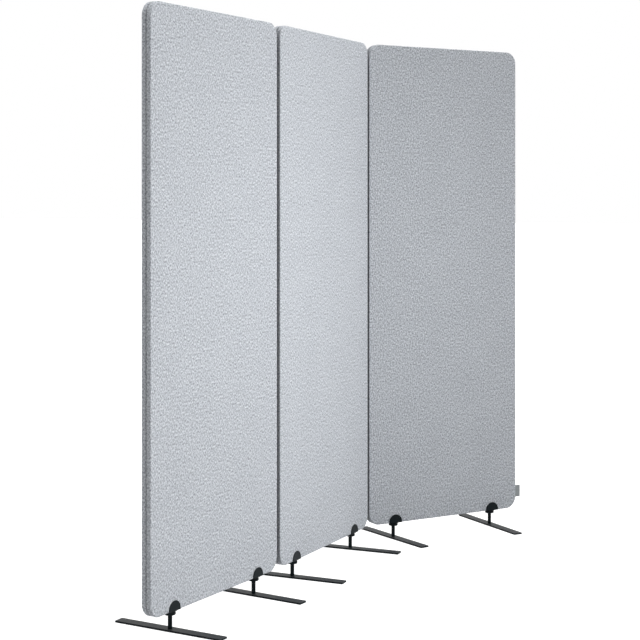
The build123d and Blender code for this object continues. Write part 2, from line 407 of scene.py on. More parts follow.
@dataclass(frozen=True)
class PressedFelt:
    """Stiff felt board of pressed fibres, hidden under the covers."""

    deep: Colour = (0.24, 0.25, 0.27)
    light: Colour = (0.42, 0.43, 0.45)
    fibre_scale: float = 700.0
    mat_scale: float = 45.0
    relief: float = 0.4 * MM

    def material(self) -> Material:
        """Mats the fibres on Object coordinates.

        Returns:
            The material.
        """
        g = Graph.of("pressed_felt")
        place = g.place()
        fibres = g.noise(g.scaled(place, (1.0, 1.0, 3.0)), self.fibre_scale, 3.0)
        mat = g.noise(place, self.mat_scale, 2.0)
        share = (0.5 + fibres * 1.8 + mat * 0.6).clamped()
        return g.finished({
            "Base Color": g.mixed(share, self.deep, self.light),
            "Roughness": 0.95 - share * 0.05,
            "Specular IOR Level": 0.2,
            "Normal": g.bump(share, self.relief, 0.6),
        })


@dataclass(frozen=True)
class PowderCoat:
    """Matte black powder coat on steel, with a painted reflection that lightens what faces up."""

    coat: Colour = (0.005, 0.009, 0.0115)
    # The colour of the painted reflection on what faces up.
    dusty: Colour = (0.042, 0.043, 0.044)
    grain: float = 0.45 * MM
    dust_scale: float = 60.0
    relief: float = 0.06 * MM

    def material(self) -> Material:
        """Grains the coat on Object coordinates, and paints a lighter reflection in patches on
        what faces up.

        Returns:
            The material.
        """
        g = Graph.of("powder_coat")
        place = g.place()
        grain = g.noise(place, 1 / self.grain, 1.5)
        patches = g.noise(place, self.dust_scale, 4.0)
        _, _, upward = g.split(g.node("ShaderNodeTexCoord", {}, {}, "Normal"))
        # Painted reflection: what faces up is mixed towards the lighter colour, in patches.
        share = (upward.larger(0.0) * (0.6 + patches * 0.6) + grain * 0.25).clamped()
        return g.finished({
            "Base Color": g.mixed(share, self.coat, self.dusty),
            "Roughness": 0.4 + patches * 0.25 + grain * 0.15,
            "Specular IOR Level": 0.07,
            "Normal": g.bump(grain, self.relief, 0.5),
        })


@dataclass(frozen=True)
class ZincPlate:
    """Zinc-plated steel of the screws and the inserts."""

    bright: Colour = (0.58, 0.58, 0.59)
    dull: Colour = (0.4, 0.4, 0.39)
    cloud_scale: float = 240.0
    turned_scale: float = 900.0
    relief: float = 0.02 * MM

    def material(self) -> Material:
        """Clouds the plating on Object coordinates.

        Returns:
            The material.
        """
        g = Graph.of("zinc_plate")
        place = g.place()
        cloud = g.noise(place, self.cloud_scale, 3.0)
        turned = g.noise(g.scaled(place, (1.0, 1.0, 9.0)), self.turned_scale, 1.0)
        share = (0.4 + cloud * 1.6).clamped()
        return g.finished({
            "Base Color": g.mixed(share, self.bright, self.dull),
            "Metallic": 1.0,
            "Roughness": 0.34 + cloud * 0.3 + turned * 0.1,
            "Normal": g.bump(turned, self.relief, 0.3),
        })


@dataclass(frozen=True)
class TwillTape:
    """Woven polyester tape with a fine diagonal rib."""

    deep: Colour = (0.012, 0.0125, 0.014)
    light: Colour = (0.05, 0.052, 0.056)
    rib: float = 0.55 * MM
    relief: float = 0.2 * MM

    def material(self) -> Material:
        """Ribs the tape on the piece's own cloth map.

        Returns:
            The material.
        """
        g = Graph.of("twill_tape")
        flat = g.flat()
        across, along, _ = g.split(g.cells(flat, self.rib, self.rib))
        diagonal = abs(((across + along) * math.pi).sine())
        yarn = abs((along * math.pi * 1.5).sine())
        slub = g.noise(g.scaled(flat, (1 / self.rib, 0.3 / self.rib, 1)), 1.0, 1.0)
        share = (diagonal * 0.45 + yarn * 0.15 + slub * 0.8 + 0.1).clamped()
        return g.finished({
            "Base Color": g.mixed(share, self.deep, self.light),
            "Roughness": 0.88 - share * 0.1,
            "Specular IOR Level": 0.3,
            "Sheen Weight": 0.1,
            "Normal": g.bump(share, self.relief, 0.6),
        })


@dataclass(frozen=True)
class MouldedPlastic:
    """Satin black moulded plastic of the zip's teeth and stops."""

    plain: Colour = (0.02, 0.0205, 0.022)
    rubbed: Colour = (0.045, 0.046, 0.048)
    flow_scale: float = 500.0
    relief: float = 0.05 * MM

    def material(self) -> Material:
        """Mottles the moulding on Object coordinates.

        Returns:
            The material.
        """
        g = Graph.of("moulded_plastic")
        flow = g.noise(g.place(), self.flow_scale, 2.0)
        share = (0.35 + flow * 1.6).clamped()
        return g.finished({
            "Base Color": g.mixed(share, self.plain, self.rubbed),
            "Roughness": 0.38 + flow * 0.25,
            "Normal": g.bump(flow, self.relief, 0.3),
        })


@dataclass(frozen=True)
class PaintedCasting:
    """Black paint on the zip's cast slider and pull, rubbed to metal in places."""

    paint: Colour = (0.018, 0.0185, 0.02)
    metal: Colour = (0.32, 0.32, 0.33)
    rub_scale: float = 700.0
    film_scale: float = 1500.0
    relief: float = 0.03 * MM

    def material(self) -> Material:
        """Rubs the paint on Object coordinates.

        Returns:
            The material.
        """
        g = Graph.of("painted_casting")
        place = g.place()
        rub = ((g.noise(place, self.rub_scale, 4.0) - 0.14) * 14.0).clamped()
        film = g.noise(place, self.film_scale, 1.0)
        return g.finished({
            "Base Color": g.mixed(rub, self.paint, self.metal),
            "Metallic": rub * 0.8,
            "Roughness": 0.36 + film * 0.2 + rub * 0.1,
            "Normal": g.bump(film, self.relief, 0.4),
        })


@dataclass(frozen=True)
class TabWeave:
    """Woven tab of fine ribbed ribbon."""

    deep: Colour = (0.206, 0.231, 0.237)
    light: Colour = (0.412, 0.437, 0.454)
    rib: float = 0.8 * MM
    relief: float = 0.2 * MM

    def material(self) -> Material:
        """Ribs the ribbon on its own cloth map.

        Returns:
            The material.
        """
        g = Graph.of("tab_weave")
        flat = g.flat()
        across, along, _ = g.split(g.cells(flat, self.rib, self.rib))
        rib = abs((along * math.pi).sine())
        yarn = abs((across * math.pi * 2.0).sine())
        slub = g.noise(g.scaled(flat, (0.3 / self.rib, 1 / self.rib, 1)), 1.0, 1.0)
        share = (rib * 0.45 + yarn * 0.2 + slub + 0.15).clamped()
        return g.finished({
            "Base Color": g.mixed(share, self.deep, self.light),
            "Roughness": 0.8 - share * 0.1,
            "Sheen Weight": 0.15,
            "Normal": g.bump(share, self.relief, 0.6),
        })


@dataclass(frozen=True)
class SewingThread:
    """Twisted thread of the seam's ladder stitch, in the cloth's own grey."""

    deep: Colour = (0.4, 0.415, 0.44)
    light: Colour = (0.68, 0.7, 0.73)
    twist: float = 0.5 * MM
    fray_scale: float = 300.0
    relief: float = 0.1 * MM

    def material(self) -> Material:
        """Twists the thread on Object coordinates.

        Returns:
            The material.
        """
        g = Graph.of("sewing_thread")
        place = g.place()
        x, y, z = g.split(place)
        twist = abs(((x + y + z) * (math.pi / self.twist)).sine())
        tone = (twist * 0.7 + g.noise(place, self.fray_scale) * 0.8 + 0.15).clamped()
        return g.finished({
            "Base Color": g.mixed(tone, self.deep, self.light),
            "Roughness": 0.75 - tone * 0.1,
            "Normal": g.bump(twist, self.relief, 0.5),
        })


class Finishes:
    """Every material of the screen, made once."""

    def __init__(self) -> None:
        """Makes the materials."""
        self.cloth = MelangeCloth().material()
        self.felt = PressedFelt().material()
        self.coat = PowderCoat().material()
        self.zinc = ZincPlate().material()
        self.tape = TwillTape().material()
        self.plastic = MouldedPlastic().material()
        self.casting = PaintedCasting().material()
        self.tab = TabWeave().material()
        self.thread = SewingThread().material()


# Making pieces


def add_object(name: str, data: bpy.types.ID) -> bpy.types.Object:
    """Adds an object to the scene.

    Args:
        name: Its name.
        data: Its mesh, lamp or camera.

    Returns:
        The object.
    """
    made = bpy.data.objects.new(name, data)
    bpy.context.scene.collection.objects.link(made)
    return made


def add_mesh(bm: BMesh, name: str, material: Material) -> bpy.types.Object:
    """Adds an object made of a mesh.

    Args:
        bm: The mesh, which is freed.
        name: The object's name.
        material: Its material.

    Returns:
        The object.
    """
    mesh = bpy.data.meshes.new(name)
    bm.to_mesh(mesh)
    bm.free()
    mesh.materials.append(material)
    return add_object(name, mesh)


def make_piece(
    bm: BMesh, name: str, place: Place, material: Material, body: str, slot: str, sharp: float = 40
) -> bpy.types.Object:
    """Turns a mesh into a piece that rides on a body.

    Args:
        bm: The mesh in its own axes, which is freed.
        name: The piece's name.
        place: Where its own axes stand.
        material: Its material.
        body: The body that it rides on.
        slot: Its material slot in the record; not used.
        sharp: The angle in degrees past which an edge stays sharp.

    Returns:
        The piece.
    """
    bmesh.ops.transform(bm, matrix=place.matrix(), verts=bm.verts)
    piece = add_mesh(bm, name, material)
    piece.data.shade_smooth()
    piece.data.set_sharp_from_angle(angle=math.radians(sharp))
    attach(piece, body)
    log.info("%s: %d faces on %s", name, len(piece.data.polygons), body)
    return piece


def eased_copy(
    node: str, name: str, ease: float, material: Material, slot: str, body: str
) -> None:
    """Makes a metal piece from its CAD node, with its sharp edges eased.

    Args:
        node: The CAD node, which the piece replaces.
        name: The piece's name.
        ease: The width that comes off each sharp edge, in metres.
        material: Its material.
        slot: Its material slot in the record.
        body: The body that it rides on.
    """
    bm = bmesh.new()
    bm.from_mesh(frame["nodes"][node].data)
    bmesh.ops.remove_doubles(bm, verts=bm.verts, dist=WELD)
    bmesh.ops.dissolve_limit(
        bm, angle_limit=LEVEL, verts=bm.verts, edges=bm.edges, delimit=set()
    )
    rounded(bm, [e for e in bm.edges if e.is_manifold and e.calc_face_angle() > CREASE], ease, 2)
    piece = make_piece(bm, name, Place(0, 0, 0), material, body, slot)
    even = piece.modifiers.new("even_shading", "WEIGHTED_NORMAL")
    even.keep_sharp = True
    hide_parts(node)


def dress(node: str, material: Material) -> None:
    """Gives a CAD node that stays in view its material.

    Args:
        node: The node.
        material: The material.
    """
    materials = frame["nodes"][node].data.materials
    materials.clear()
    materials.append(material)


def thicken(piece: bpy.types.Object, thickness: float, offset: float) -> None:
    """Gives a sheet its thickness.

    Args:
        piece: The sheet.
        thickness: Its thickness in metres.
        offset: -1 to grow it inwards, 0 to both sides.
    """
    modifier = piece.modifiers.new("thickness", "SOLIDIFY")
    modifier.thickness = thickness
    modifier.offset = offset


def map_flat(bm: BMesh, flatten: Callable[[BMVert], Vector]) -> None:
    """Writes the cloth map, in metres.

    Args:
        bm: The mesh.
        flatten: Gives a vertex its place on the flat cloth.
    """
    layer = bm.loops.layers.uv.new(CLOTH_MAP)
    for vertex in bm.verts:
        flat = flatten(vertex)
        for loop in vertex.link_loops:
            loop[layer].uv = flat


def rippled(bm: BMesh, height: float, across: float, up: float, seed: float) -> None:
    """Ripples an upright sheet.

    Args:
        bm: The sheet.
        height: The ripples' height, in metres.
        across: How many there are to a metre of its width, about.
        up: How many there are to a metre of its height, about.
        seed: Tells this sheet's ripples from the others'.
    """
    for vertex in bm.verts:
        spot = Vector((vertex.co.z * up, vertex.co.x * across, seed))
        vertex.co.y += height * noise.noise(spot)


def rounded(
    bm: BMesh, parts: list[BMEdge | BMVert], radius: float, segments: int, affect: str = "EDGES"
) -> None:
    """Rounds edges or corners.

    Args:
        bm: The mesh.
        parts: Its edges or vertices to round.
        radius: The rounding, in metres.
        segments: Its steps.
        affect: EDGES or VERTICES.
    """
    bmesh.ops.bevel(
        bm, geom=parts, offset=radius, offset_type="OFFSET", affect=affect, segments=segments,
        profile=0.5, material=-1,
    )


def add_block(
    bm: BMesh, half: tuple[float, float], low: float, high: float, radius: float
) -> None:
    """Adds a round-edged block about the vertical axis.

    Args:
        bm: The mesh that it joins.
        half: Half its width and half its depth.
        low: Its foot.
        high: Its top.
        radius: The rounding of its edges.
    """
    stand = Matrix.Translation((0, 0, (low + high) / 2))
    size = Matrix.Diagonal((2 * half[0], 2 * half[1], high - low, 1))
    corners = bmesh.ops.create_cube(bm, size=1, matrix=stand @ size)["verts"]
    edges = dict.fromkeys(edge for corner in corners for edge in corner.link_edges)
    rounded(bm, list(edges), radius, 3)


def add_rod(bm: BMesh, matrix: Matrix, radius: float, length: float, sides: int) -> None:
    """Adds a round rod along the Z of a transform."""
    bmesh.ops.create_cone(
        bm, cap_ends=True, segments=sides, radius1=radius, radius2=radius, depth=length,
        matrix=matrix,
    )


def add_sheet(
    bm: BMesh, cells: tuple[int, int], half: tuple[float, float], x: float = 0, y: float = 0
) -> None:
    """Adds an upright grid that faces the front.

    Args:
        bm: The mesh that it joins.
        cells: Its cells across and up.
        half: Half its width and half its height.
        x: Its middle across.
        y: Its depth.
    """
    matrix = Matrix.Translation((x, y, 0)) @ UPRIGHT @ Matrix.Diagonal((*half, 1, 1))
    bmesh.ops.create_grid(bm, x_segments=cells[0], y_segments=cells[1], size=1, matrix=matrix)


def open_rim(bm: BMesh) -> list[BMEdge]:
    """The edges that end a sheet."""
    return [e for e in bm.edges if e.is_boundary]


def verts_of(geometry: Iterable[object]) -> list[BMVert]:
    """The vertices among the parts of a mesh."""
    return [part for part in geometry if isinstance(part, BMVert)]


def quarter_turn(steps: int) -> list[float]:
    """The angles from zero to a quarter turn, in even steps."""
    return [index / steps * QUARTER for index in range(steps + 1)]


def direction(angle: float) -> Vector:
    """A unit vector across and up, from its angle."""
    return Vector((math.cos(angle), math.sin(angle)))


def held(value: float) -> float:
    """A number kept between 0 and 1."""
    return min(1, max(0, value))


# The screen


@dataclass(frozen=True)
class Outline:
    """A rectangle with round corners, seen from the front, about its own middle."""

    width: float
    height: float
    radius: float

    @property
    def half_x(self) -> float:
        """Half the width between the corners' centres."""
        return self.width / 2 - self.radius

    @property
    def half_z(self) -> float:
        """Half the height between the corners' centres."""
        return self.height / 2 - self.radius

    @property
    def length(self) -> float:
        """The whole way round."""
        return 4 * (self.half_x + self.half_z) + math.tau * self.radius

    def split(self, x: float, z: float) -> tuple[Vector, Vector]:
        """Finds which way is outwards.

        Args:
            x: The point across.
            z: The point up from the middle.

        Returns:
            The nearest point between the corners' centres, and the unit vector from
            there, or a zero vector for a point inside.
        """
        near_x = min(max(x, -self.half_x), self.half_x)
        near_z = min(max(z, -self.half_z), self.half_z)
        anchor = Vector((near_x, near_z))
        return anchor, (Vector((x, z)) - anchor).normalized()

    def distance(self, anchor: Vector, outward: Vector) -> float:
        """How far round a point lies, anticlockwise from the foot of the right side.

        Args:
            anchor: Its anchor from split.
            outward: Its outward vector from split.

        Returns:
            The distance in metres.
        """
        angle = math.atan2(outward.y, outward.x) % math.tau
        quarter = min(3, int(angle / QUARTER + HAIR))
        walked = (
            anchor.y + self.half_z,
            2 * self.half_z + self.half_x - anchor.x,
            3 * self.half_z + 2 * self.half_x - anchor.y,
            4 * self.half_z + 3 * self.half_x + anchor.x,
        )
        return walked[quarter] + self.radius * angle

    def at(self, distance: float) -> tuple[Vector, Vector]:
        """The point that lies so far round.

        Args:
            distance: The distance in metres, as in the method above.

        Returns:
            Its anchor and its outward vector.
        """
        ways = ((1, 1), (-1, 1), (-1, -1), (1, -1))
        corners = [Vector((x * self.half_x, z * self.half_z)) for x, z in ways]
        arc = self.radius * QUARTER
        for quarter, corner in enumerate(corners):
            angle = quarter * QUARTER
            side = 2 * (self.half_x if quarter % 2 else self.half_z)
            if distance <= side:
                start = corners[quarter - 1]
                return start.lerp(corner, distance / side), direction(angle)
            distance -= side
            if distance <= arc:
                return corner, direction(angle + distance / self.radius)
            distance -= arc
        return corners[-1], direction(0)


@dataclass(frozen=True)
class Ring:
    """One loop of a cover: its place past the corners' centres, its depth and its
    distance on the flat cloth."""

    reach: float
    depth: float
    flat: float


@dataclass(frozen=True)
class Cover:
    """The cloth over one face of a panel, from the face round to the hem in the seam."""

    outline: Outline
    half_thickness: float = 15.0 * MM
    cloth: float = 1.2 * MM
    edge_radius: float = 2.8 * MM
    seam_radius: float = 1.7 * MM
    hem: float = 25.0 * MM
    shown_hem: float = 12.0 * MM
    half_slit: float = 0.7 * MM
    cell: float = 48.0 * MM
    step: float = 3.0 * MM
    start_reach: float = 4.0 * MM
    corner_steps: int = 16
    arc_steps: int = 4
    coarse_shares: tuple[float, float] = (0.4, 0.7)
    pucker_pitch: float = 12.5 * MM
    pucker: float = 0.5 * MM
    pucker_reach: float = 1.6
    waver: float = 0.22 * MM
    waver_around: float = 45.0
    waver_deep: float = 60.0
    map_shift: float = 0.37

    def rings(self) -> tuple[list[Ring], list[Ring]]:
        """The loops of the cover, from the middle of the face to the hem.

        Returns:
            The few loops on the flat of the face, and the close ones round the edge.
        """
        full, face = self.outline.radius, -self.half_thickness
        edge, side_start = full - self.edge_radius, face + self.edge_radius
        coarse = [Ring(r, face, r) for r in (full * share for share in self.coarse_shares)]
        fine = [Ring(r, face, r) for r in (edge - self.step, edge)]
        for angle in quarter_turn(self.arc_steps)[1:]:
            reach = edge + self.edge_radius * math.sin(angle)
            depth = face + self.edge_radius * (1 - math.cos(angle))
            fine.append(Ring(reach, depth, edge + self.edge_radius * angle))
        flat = fine[-1].flat
        for share in (0.5, 1.0):
            depth = side_start + share * (-self.seam_radius - side_start)
            fine.append(Ring(full, depth, flat + depth - side_start))
        flat = fine[-1].flat
        for angle in quarter_turn(self.arc_steps)[1:]:
            reach = full - self.seam_radius * (1 - math.cos(angle))
            depth = (self.seam_radius - self.half_slit) * math.sin(angle) - self.seam_radius
            fine.append(Ring(reach, depth, flat + self.seam_radius * angle))
        hem_flat = fine[-1].flat + self.shown_hem - self.seam_radius
        fine.append(Ring(full - self.shown_hem, -self.half_slit, hem_flat))
        return coarse, fine

    def cut_size(self) -> tuple[float, float]:
        """The size that the cloth is cut to: the face, its edges and its hems."""
        extra = 2 * (self.half_thickness + self.hem)
        return self.outline.width + extra, self.outline.height + extra

    def _extruded(self, bm: BMesh, rim: list[BMEdge], ring: Ring, seed: float) -> list[BMEdge]:
        """Draws the open rim out to the next loop.

        Args:
            bm: The mesh.
            rim: Its open edges.
            ring: The loop that they go to.
            seed: Tells this cover's wavering from the others'.

        Returns:
            The new open edges.
        """
        flat_layer = bm.verts.layers.float["flat"]
        near_seam = max(0.0, 1 - abs(ring.depth) / (self.seam_radius * self.pucker_reach))
        past_edge = min(1.0, (ring.depth + self.half_thickness) / self.edge_radius)
        for vertex in verts_of(bmesh.ops.extrude_edge_only(bm, edges=rim)["geom"]):
            anchor, outward = self.outline.split(vertex.co.x, vertex.co.z)
            around = self.outline.distance(anchor, outward)
            ripple = math.cos(math.tau * around / self.pucker_pitch)
            spot = Vector((around * self.waver_around, ring.depth * self.waver_deep, seed))
            reach = ring.reach + past_edge * self.waver * noise.noise(spot)
            reach += near_seam * self.pucker * (ripple - 1) / 2
            at = anchor + outward * reach
            vertex.co = (at.x, ring.depth, at.y)
            vertex[flat_layer] = ring.flat
        return open_rim(bm)

    def mesh(self, side: Side, seed: float) -> BMesh:
        """Builds the cover about the panel's middle.

        Args:
            side: The face that it covers.
            seed: Tells this cover's wavering and weave from the others'.

        Returns:
            The mesh, one layer thick.
        """
        bm = bmesh.new()
        half_x = self.outline.half_x + self.start_reach
        half_z = self.outline.half_z + self.start_reach
        cells = round(2 * half_x / self.cell), round(2 * half_z / self.cell)
        add_sheet(bm, cells, (half_x, half_z), y=-self.half_thickness)
        corners = [v for v in bm.verts if len(v.link_edges) == 2]
        rounded(bm, corners, self.start_reach, self.corner_steps, "VERTICES")
        flat_layer = bm.verts.layers.float.new("flat")
        for vertex in bm.verts:
            anchor, _ = self.outline.split(vertex.co.x, vertex.co.z)
            vertex[flat_layer] = (Vector((vertex.co.x, vertex.co.z)) - anchor).length
        rim = open_rim(bm)
        coarse, fine = self.rings()
        for ring in coarse:
            rim = self._extruded(bm, rim, ring, seed)
        long_edges = [e for e in rim if e.calc_length() > 2 * self.step]
        cuts = round(self.cell / self.step) - 1
        bmesh.ops.subdivide_edges(bm, edges=long_edges, cuts=cuts)
        for vertex in bm.verts:
            if vertex.is_boundary:
                vertex[flat_layer] = coarse[-1].flat
        rim = open_rim(bm)
        for ring in fine:
            rim = self._extruded(bm, rim, ring, seed)
        shift = Vector((seed, seed * self.map_shift))

        def flatten(vertex: BMVert) -> Vector:
            """Where a vertex lies on the cloth before it is wrapped."""
            anchor, outward = self.outline.split(vertex.co.x, vertex.co.z)
            return anchor + outward * vertex[flat_layer] + shift

        map_flat(bm, flatten)
        if side is Side.BACK:
            bmesh.ops.transform(bm, matrix=HALF_TURN, verts=bm.verts)
        return bm


@dataclass(frozen=True)
class LadderStitch:
    """The thread that closes the seam between the two covers."""

    pitch: float = 12.5 * MM
    radius: float = 0.45 * MM
    span: float = 4.6 * MM
    depth: float = 1.2 * MM
    slant: float = math.radians(14)
    sides: int = 8

    def mesh(self, outline: Outline, left_out: Callable[[Vector, Vector], bool]) -> BMesh:
        """Lays the stitches round the seam.

        Args:
            outline: The panel's outline.
            left_out: Says where the seam has no such stitch.

        Returns:
            The stitches about the panel's middle.
        """
        bm = bmesh.new()
        count = round(outline.length / self.pitch)
        for index in range(count):
            anchor, outward = outline.at((index + 0.5) * outline.length / count)
            if left_out(anchor, outward):
                continue
            at = anchor + outward * (outline.radius - self.depth)
            around = Vector((outward.x, 0, outward.y))
            laid = Matrix.Rotation(self.slant * (-1) ** index, 4, around) @ UPRIGHT
            middle = Matrix.Translation((at.x, 0, at.y)) @ laid
            add_rod(bm, middle, self.radius, self.span, self.sides)
        return bm


@dataclass(frozen=True)
class Panel:
    """One upright panel: its covers, boards, seam, flanges and fasteners."""

    finishes: Finishes
    number: int
    place: Place
    zip_ways: tuple[int, ...]
    seed: float
    side_seed: float = 0.31
    outline: Outline = Outline(609.6 * MM, 1619.0 * MM, 40.0 * MM)
    bottom: float = 53.4 * MM
    foot_inset: float = 104.0 * MM
    zip_margin: float = 46.0 * MM
    seam_lap: float = 4.0 * MM
    flange_depth: float = 15.0 * MM
    flange_start: float = 1.2 * MM
    flange_cell: float = 12.0 * MM
    flange_ripple: float = 0.1 * MM
    tape_thickness: float = 0.6 * MM
    screw_ease: float = 0.15 * MM
    cloth_crease: float = 60.0
    # How strong the painted shade in the seam's groove is, and at what outward lean and over what
    # rise the painted shade on the ends in the zips' gaps sets in.
    seam_grime: float = 1.6
    grime_start: float = 0.6
    grime_rise: float = 0.35

    @property
    def body(self) -> str:
        """The CAD body that the panel is."""
        return f"panel_{self.number}"

    @property
    def middle(self) -> Place:
        """The place of the panel's middle."""
        return self.place.raised(self.bottom + self.outline.height / 2)

    def feet(self) -> "list[Foot]":
        """Sets the panel's two feet in from its ends.

        Returns:
            The feet, the left one first.
        """
        reach = self.outline.width / 2 - self.foot_inset
        places = [self.place.beyond(way * reach, 0) for way in (-1, 1)]
        first = 2 * self.number - 1
        return [Foot(self.finishes, first + index, at) for index, at in enumerate(places)]

    def build(self) -> None:
        """Makes and dresses everything that belongs to the panel."""
        body, finishes = self.body, self.finishes
        self._covers()
        seam = LadderStitch().mesh(self.outline, self._zip_is_there)
        name = f"{body}_seam_thread"
        make_piece(seam, name, self.middle, finishes.thread, body, "cover_fabric")
        self._flanges()
        for side in Side:
            dress(f"{body}_{side.word}_board", finishes.felt)
        dress(f"{body}_foot_inserts", finishes.zinc)
        node, name = f"{body}_foot_screws", f"{body}_socket_screws"
        eased_copy(node, name, self.screw_ease, finishes.zinc, "zinc_steel", body)

    def _covers(self) -> None:
        """Makes the two covers."""
        cover = Cover(self.outline)
        cloth_on = self.finishes.cloth, self.body, "cover_fabric", self.cloth_crease
        for side in Side:
            mesh = cover.mesh(side, self.seed + side.value * self.side_seed)
            # Painted shade in the seam's groove and on the ends in the zips' gaps.
            self._mark_grime(mesh, cover)
            cloth = make_piece(mesh, f"{self.body}_{side.word}_cloth", self.middle, *cloth_on)
            thicken(cloth, cover.cloth, -1)
            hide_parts(f"{self.body}_{side.word}_cover")
            cover.cut_size()

    def _mark_grime(self, bm: BMesh, cover: Cover) -> None:
        """Marks the painted shade on each point of a cover, in the groove of its seam and on its
        ends in the zips' gaps.

        Args:
            bm: The cover about the panel's middle.
            cover: Its sizes.
        """
        layer = bm.verts.layers.float.new(PAINTED_SHADE_MAP)
        lip = cover.seam_radius - cover.half_slit
        for vertex in bm.verts:
            _, outward = self.outline.split(vertex.co.x, vertex.co.z)
            facing = max(outward.x * way for way in self.zip_ways)
            inwards = (cover.half_thickness - abs(vertex.co.y)) / cover.edge_radius
            # Painted shade on an end that faces into a zip's gap, and on the lips of the seam's
            # groove.
            by_zip = held((facing - self.grime_start) / self.grime_rise) * held(inwards)
            by_seam = 1 - held((abs(vertex.co.y) - cover.half_slit) / lip)
            vertex[layer] = max(by_zip, self.seam_grime * by_seam)

    def _zip_is_there(self, anchor: Vector, outward: Vector) -> bool:
        """Says whether a point of the seam is where a zip is sewn in."""
        reach = self.outline.height / 2 - self.zip_margin + self.seam_lap
        return abs(anchor.y) < reach and round(outward.x, 6) in self.zip_ways

    def _flanges(self) -> None:
        """Makes the parts of the zip's tapes that are sewn inside the seam."""
        bm = bmesh.new()
        half_length = self.outline.height / 2 - self.zip_margin
        half_width = (self.flange_depth - self.flange_start) / 2
        reach = self.outline.width / 2 - (self.flange_depth + self.flange_start) / 2
        cells = 2, round(2 * half_length / self.flange_cell)
        for way in self.zip_ways:
            add_sheet(bm, cells, (half_width, half_length), x=way * reach)
        rippled(bm, self.flange_ripple, across=9, up=60, seed=self.seed)
        map_flat(bm, lambda v: Vector((v.co.x, v.co.z)))
        name = f"{self.body}_tape_flanges"
        tape = self.finishes.tape
        flanges = make_piece(bm, name, self.middle, tape, self.body, "zip_tape")
        thicken(flanges, self.tape_thickness, 0)
        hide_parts(f"{self.body}_zip_flanges")
        flat = len(self.zip_ways) * self.flange_depth, 2 * half_length


@dataclass(frozen=True)
class Foot:
    """One foot: its bar, post, collar nut and two clamp jaws."""

    finishes: Finishes
    number: int
    place: Place
    ease: float = 0.3 * MM
    collar_radius: float = 15.5 * MM
    collar_bore: float = 4.1 * MM
    collar_low: float = 42.4 * MM
    collar_high: float = 49.4 * MM
    collar_under: float = 1.6 * MM
    collar_over: float = 0.6 * MM
    under_steps: int = 6
    over_steps: int = 3
    collar_steps: int = 48

    def build(self) -> None:
        """Makes and dresses the foot, which rides on the panel that it carries."""
        foot, coat = f"foot_{self.number}", self.finishes.coat
        body = f"panel_{(self.number + 1) // 2}"
        words = {"bar": "flat_bar", "post": "round_post"}
        words |= {f"{side.word}_jaw": f"{side.word}_clamp" for side in Side}
        for node, word in words.items():
            eased_copy(f"{foot}_{node}", f"{foot}_{word}", self.ease, coat, "black_steel", body)
        name = f"{foot}_collar_nut"
        collar = make_piece(self._collar(), name, self.place, coat, body, "black_steel")
        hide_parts(f"{foot}_collar")

    def _collar(self) -> BMesh:
        """Turns the collar nut from its profile, well rounded below.

        Returns:
            The nut about its own axis.
        """
        bm = bmesh.new()
        low, high, radius = self.collar_low, self.collar_high, self.collar_radius
        profile = [(self.collar_bore, high), (self.collar_bore, low)]
        for angle in quarter_turn(self.under_steps):
            inset = self.collar_under * (1 - math.sin(angle))
            rise = self.collar_under * (1 - math.cos(angle))
            profile.append((radius - inset, low + rise))
        for angle in quarter_turn(self.over_steps):
            inset = self.collar_over * (1 - math.cos(angle))
            profile.append((radius - inset, high - self.collar_over * (1 - math.sin(angle))))
        verts = [bm.verts.new((r, 0, z)) for r, z in profile]
        edges = [bm.edges.new(pair) for pair in zip(verts, verts[1:] + verts[:1])]
        bmesh.ops.spin(
            bm, geom=verts + edges, cent=(0, 0, 0), axis=(0, 0, 1), angle=math.tau,
            steps=self.collar_steps, use_merge=True,
        )
        bmesh.ops.recalc_face_normals(bm, faces=bm.faces)
        return bm


